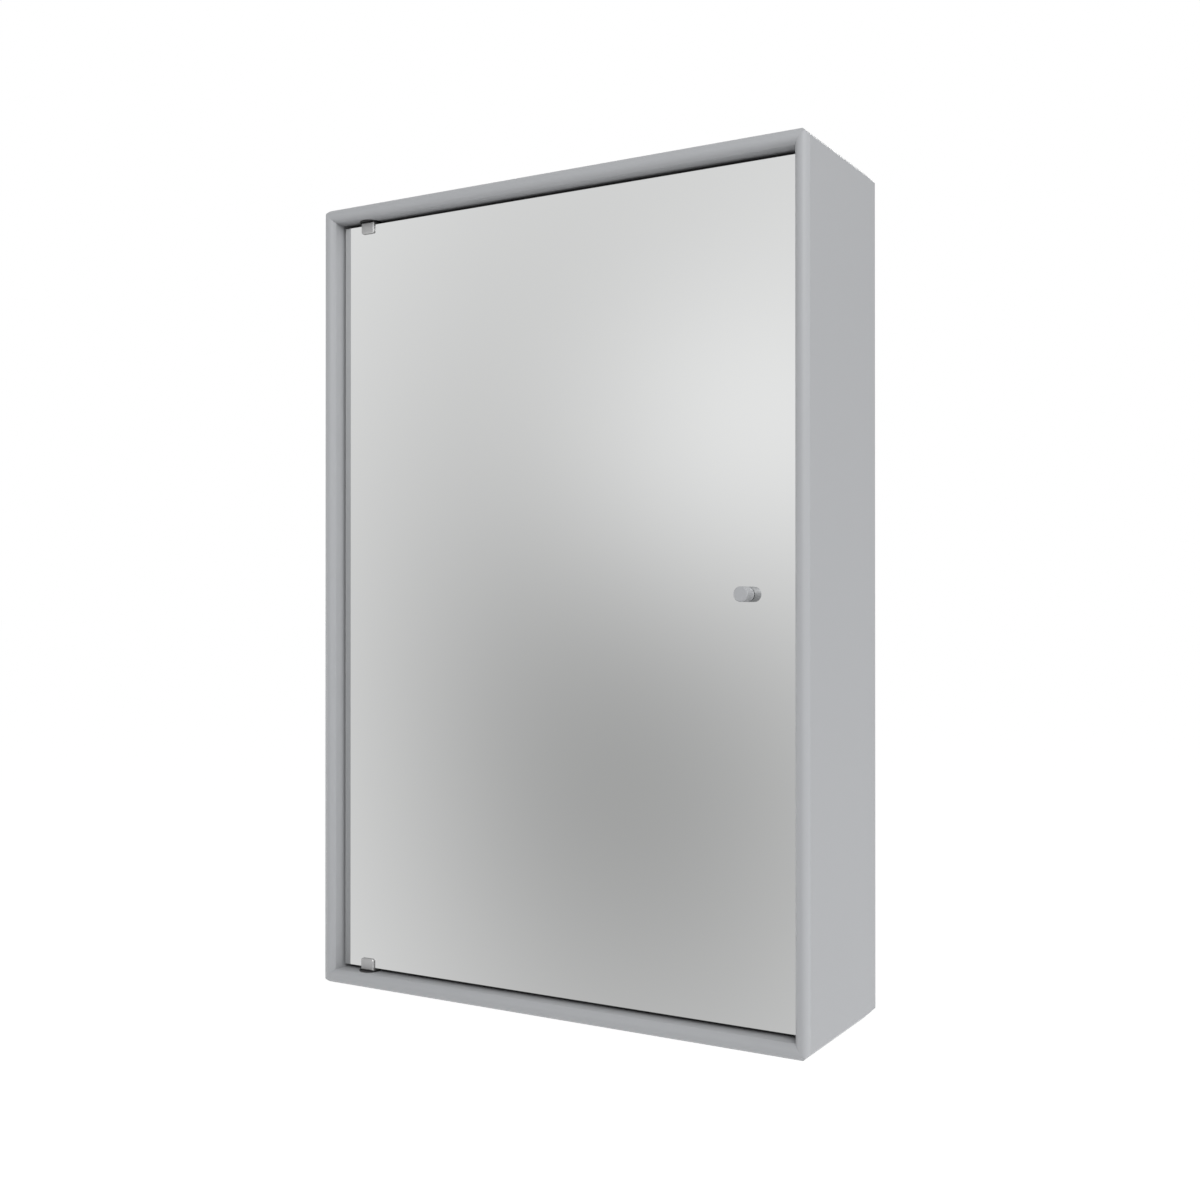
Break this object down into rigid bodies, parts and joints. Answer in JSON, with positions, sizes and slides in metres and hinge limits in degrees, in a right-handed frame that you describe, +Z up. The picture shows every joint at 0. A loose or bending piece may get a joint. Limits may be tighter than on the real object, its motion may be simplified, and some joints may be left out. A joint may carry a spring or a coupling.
{
  "type": "mirror cabinet",
  "caption": "Wall-hung mirror cabinet: mitred rounded-front carcass, inset mirror door on pivot clips with round knob, glass shelves inside.",
  "frame": {"origin": "centre of the rear face, which lies on the wall", "axes": "+X to the right seen from the front, +Y towards the wall, +Z up along the height"},
  "size_m": [0.468, 0.148, 0.696],
  "materials": {
    "lacquer": "satin grey lacquer on fibreboard",
    "spline_wood": "plain birch plywood",
    "steel": "bright zinc plating",
    "catch_plastic": "matt light grey plastic",
    "magnet": "dark sintered ferrite",
    "glass": "clear float glass with ground edges",
    "mirror_layer": "silvered, painted behind",
    "knob_grey": "satin grey lacquer",
    "washer": "translucent grey plastic",
    "pad": "white foam adhesive pad",
    "hinge_metal": "satin grey metal",
    "liner": "soft dark liner",
    "bush_plastic": "matt black plastic"
  },
  "bodies": {
    "cabinet": {"side_panel_left": "lacquer", "side_panel_right": "lacquer", "top_panel": "lacquer", "bottom_panel": "lacquer", "back_panel": "lacquer", "corner_splines": "spline_wood", "back_panel_splines": "spline_wood", "wall_screw_sleeves": "steel", "catch_housing": "catch_plastic", "catch_magnet": "magnet", "catch_pole_plates": "steel", "catch_screws": "steel", "shelf_lower": "glass", "shelf_supports_lower": "steel", "shelf_middle": "glass", "shelf_supports_middle": "steel", "shelf_upper": "glass", "shelf_supports_upper": "steel", "lower_pivot_bush": "bush_plastic", "upper_pivot_bush": "bush_plastic"},
    "door": {"mirror_pane": "glass", "mirror_coating": "mirror_layer", "door_knob": "knob_grey", "knob_front_washer": "washer", "knob_rear_washer": "washer", "knob_screw": "steel", "strike_adhesive_pad": "pad", "strike_plate": "steel", "lower_hinge_clip": "hinge_metal", "lower_hinge_liner": "liner", "lower_clamp_plate": "steel", "lower_clamp_screw": "steel", "lower_pivot_pin": "steel", "upper_hinge_clip": "hinge_metal", "upper_hinge_liner": "liner", "upper_clamp_plate": "steel", "upper_clamp_screw": "steel", "upper_pivot_pin": "steel"}
  },
  "joints": [
    {"name": "door_hinge", "type": "hinge", "parent": "cabinet", "child": "door", "pos_m": [-0.1928, -0.131, 0], "axis": [0, 0, -1], "range_deg": [0, 110]}
  ]
}
